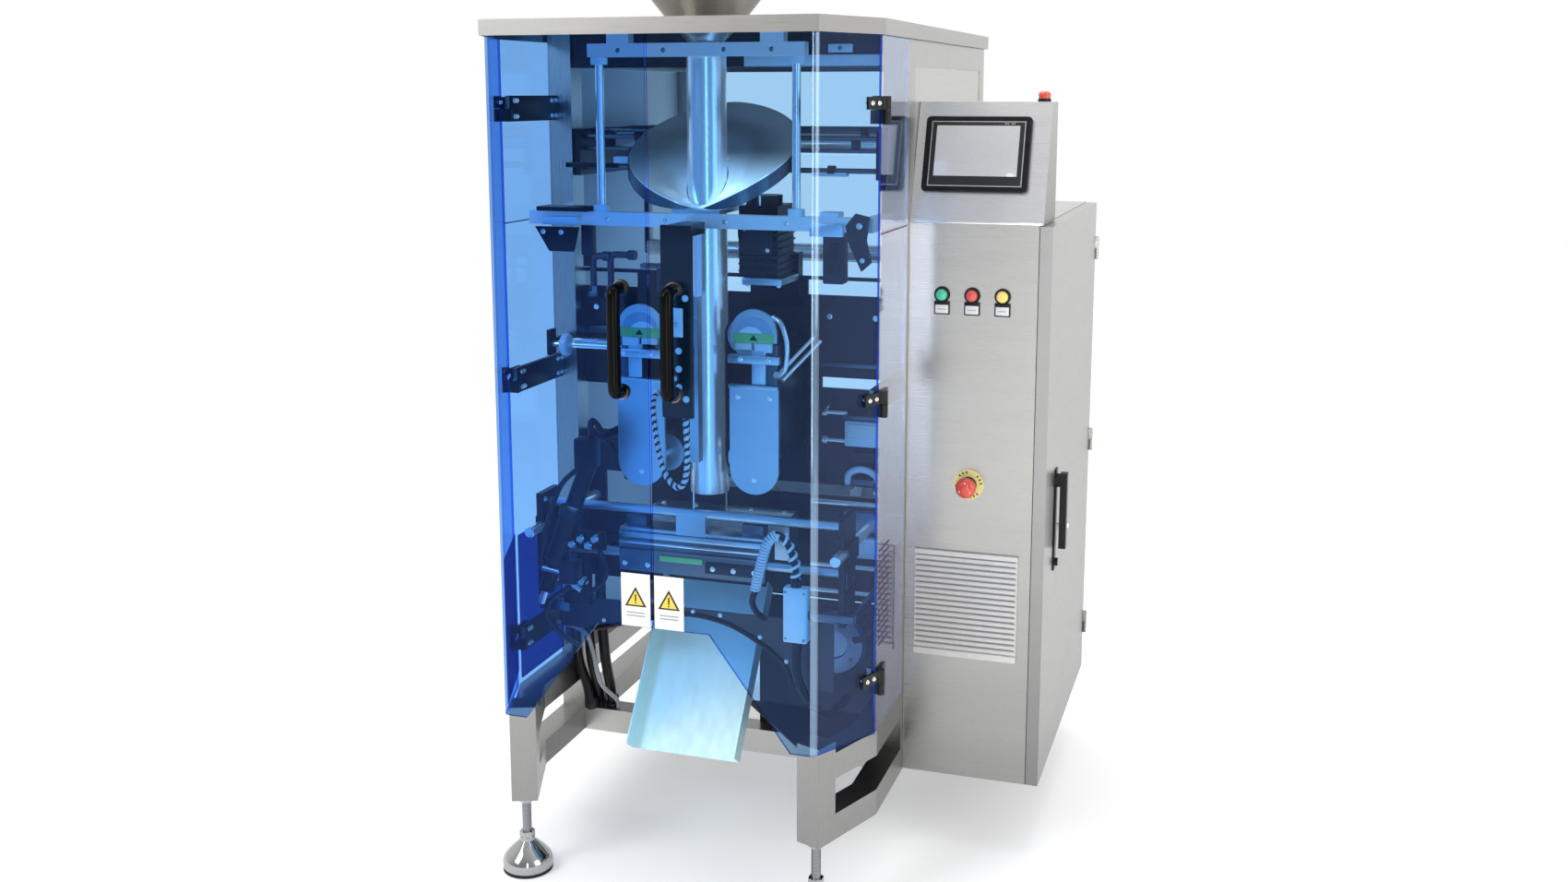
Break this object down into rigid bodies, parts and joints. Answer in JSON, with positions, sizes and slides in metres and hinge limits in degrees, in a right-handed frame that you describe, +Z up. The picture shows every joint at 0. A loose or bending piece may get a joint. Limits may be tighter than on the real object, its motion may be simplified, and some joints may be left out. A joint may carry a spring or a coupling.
{
  "type": "vertical form fill seal machine",
  "caption": "Vertical bag-making and packing machine with blue clear doors, a steel frame on levelling feet, a top hopper, sealing jaws, a chute and a side control cabinet.",
  "frame": {"origin": "middle of the whole machine's footprint, cabinet included, on the floor", "axes": "+Z up, +X to the right when facing the doors, where the cabinet is, and +Y into the machine, away from the doors"},
  "size_m": [1.0668, 1.191, 1.815],
  "materials": {
    "brushed_steel": "brushed stainless steel",
    "acrylic": "clear blue acrylic",
    "black_metal": "black satin coat",
    "chrome": "polished",
    "aluminium": "satin machined",
    "rubber": "matt black",
    "film": "glossy plain packing film",
    "green_lens": "glossy lens",
    "red_cap": "glossy cap",
    "yellow_lens": "glossy lens",
    "screen": "dark bezel"
  },
  "bodies": {
    "frame": {"side_frame_left": "brushed_steel", "side_frame_right": "brushed_steel", "side_panel_left": "brushed_steel", "side_panel_right": "brushed_steel", "lower_cross_rail": "brushed_steel", "rear_cross_rail": "brushed_steel", "upper_cross_beam": "brushed_steel", "rear_upper_beam": "brushed_steel", "top_plate": "brushed_steel", "hopper": "brushed_steel", "bag_chute": "brushed_steel", "cabinet_body": "brushed_steel", "screen_housing": "brushed_steel", "side_window_left": "acrylic", "side_window_right": "acrylic", "roller_plate_left": "black_metal", "roller_plate_right": "black_metal", "mounting_plate": "black_metal", "belt_motor": "black_metal", "sealer_bracket": "black_metal", "jaw_drive": "black_metal", "guide_rod_left": "chrome", "guide_rod_right": "chrome", "jaw_guide_rod_left": "chrome", "jaw_guide_rod_right": "chrome", "front_foot_left": "chrome", "front_foot_right": "chrome", "rear_foot_left": "chrome", "rear_foot_right": "chrome", "forming_tube": "chrome", "forming_collar": "chrome", "belt_cover_left": "aluminium", "belt_cover_right": "aluminium", "crossbar": "aluminium", "upper_bar": "aluminium", "pull_belt_left": "rubber", "pull_belt_right": "rubber", "sealer_lead": "rubber", "touch_screen": "screen"},
    "door_left": {"door_left": "acrylic", "door_handle_left": "black_metal"},
    "door_right": {"door_right": "acrylic", "door_handle_right": "black_metal"},
    "cabinet_door": {"cabinet_door": "brushed_steel"},
    "cabinet_lever": {"cabinet_lever": "black_metal"},
    "start_button": {"start_button": "green_lens"},
    "stop_button": {"stop_button": "red_cap"},
    "jog_button": {"jog_button": "yellow_lens"},
    "emergency_stop": {"emergency_stop": "red_cap"},
    "upper_pulley_left": {"upper_pulley_left": "aluminium"},
    "lower_pulley_left": {"lower_pulley_left": "aluminium"},
    "upper_pulley_right": {"upper_pulley_right": "aluminium"},
    "lower_pulley_right": {"lower_pulley_right": "aluminium"},
    "sealer_bar": {"sealer_bar": "aluminium"},
    "front_jaw": {"front_jaw": "aluminium"},
    "rear_jaw": {"rear_jaw": "aluminium"},
    "front_film_roller": {"front_film_roller": "chrome"},
    "rear_film_roller": {"rear_film_roller": "chrome"},
    "dancer": {"dancer": "chrome"},
    "film_roll": {"film_roll": "film"}
  },
  "joints": [
    {"name": "door_left_swing", "type": "hinge", "parent": "frame", "child": "door_left", "pos_m": [-0.51763, -0.3655, 0.945], "axis": [0, 0, -1], "range_deg": [0, 110]},
    {"name": "door_right_swing", "type": "hinge", "parent": "frame", "child": "door_right", "pos_m": [0.24437, -0.3655, 0.945], "axis": [0, 0, 1], "range_deg": [0, 110]},
    {"name": "cabinet_door_swing", "type": "hinge", "parent": "frame", "child": "cabinet_door", "pos_m": [0.51337, 0.5345, 0.704], "axis": [0, 0, 1], "range_deg": [0, 110]},
    {"name": "cabinet_lever_turn", "type": "hinge", "parent": "cabinet_door", "child": "cabinet_lever", "pos_m": [0.51537, -0.0175, 0.74], "axis": [1, 0, 0], "range_deg": [0, 90]},
    {"name": "start_button_press", "type": "slide", "parent": "frame", "child": "start_button", "axis": [0, 1, 0], "range_m": [0, 0.003], "stiffness_N_per_m": 800},
    {"name": "stop_button_press", "type": "slide", "parent": "frame", "child": "stop_button", "axis": [0, 1, 0], "range_m": [0, 0.003], "stiffness_N_per_m": 800},
    {"name": "jog_button_press", "type": "slide", "parent": "frame", "child": "jog_button", "axis": [0, 1, 0], "range_m": [0, 0.003], "stiffness_N_per_m": 800},
    {"name": "emergency_stop_press", "type": "slide", "parent": "frame", "child": "emergency_stop", "axis": [0, 1, 0], "range_m": [0, 0.005], "stiffness_N_per_m": 1500},
    {"name": "upper_pulley_left_spin", "type": "hinge", "parent": "frame", "child": "upper_pulley_left", "pos_m": [-0.22013, -0.2495, 1.04], "axis": [0, 1, 0], "continuous": true},
    {"name": "lower_pulley_left_spin", "type": "hinge", "parent": "frame", "child": "lower_pulley_left", "pos_m": [-0.22013, -0.2495, 0.8], "axis": [0, 1, 0], "continuous": true},
    {"name": "upper_pulley_right_spin", "type": "hinge", "parent": "frame", "child": "upper_pulley_right", "pos_m": [-0.05313, -0.2495, 1.04], "axis": [0, 1, 0], "continuous": true},
    {"name": "lower_pulley_right_spin", "type": "hinge", "parent": "frame", "child": "lower_pulley_right", "pos_m": [-0.05313, -0.2495, 0.8], "axis": [0, 1, 0], "continuous": true},
    {"name": "sealer_bar_press", "type": "slide", "parent": "frame", "child": "sealer_bar", "axis": [0, 1, 0], "range_m": [0, 0.02]},
    {"name": "front_jaw_close", "type": "slide", "parent": "frame", "child": "front_jaw", "axis": [0, 1, 0], "range_m": [0, 0.045]},
    {"name": "rear_jaw_close", "type": "slide", "parent": "frame", "child": "rear_jaw", "axis": [0, -1, 0], "range_m": [0, 0.045]},
    {"name": "front_film_roller_spin", "type": "hinge", "parent": "frame", "child": "front_film_roller", "pos_m": [-0.13663, 0.0145, 1.4], "axis": [1, 0, 0], "continuous": true},
    {"name": "rear_film_roller_spin", "type": "hinge", "parent": "frame", "child": "rear_film_roller", "pos_m": [-0.13663, 0.2745, 1.385], "axis": [1, 0, 0], "continuous": true},
    {"name": "dancer_swing", "type": "hinge", "parent": "frame", "child": "dancer", "pos_m": [-0.13663, 0.1445, 1.385], "axis": [1, 0, 0], "range_deg": [-20, 20]},
    {"name": "film_roll_spin", "type": "hinge", "parent": "frame", "child": "film_roll", "pos_m": [-0.13663, 0.3545, 0.56], "axis": [1, 0, 0], "continuous": true}
  ],
  "couplings": [
    {"joint": "lower_pulley_left_spin", "follows": "upper_pulley_left_spin", "ratio": 1},
    {"joint": "upper_pulley_right_spin", "follows": "upper_pulley_left_spin", "ratio": -1},
    {"joint": "lower_pulley_right_spin", "follows": "upper_pulley_left_spin", "ratio": -1},
    {"joint": "rear_jaw_close", "follows": "front_jaw_close", "ratio": 1}
  ]
}
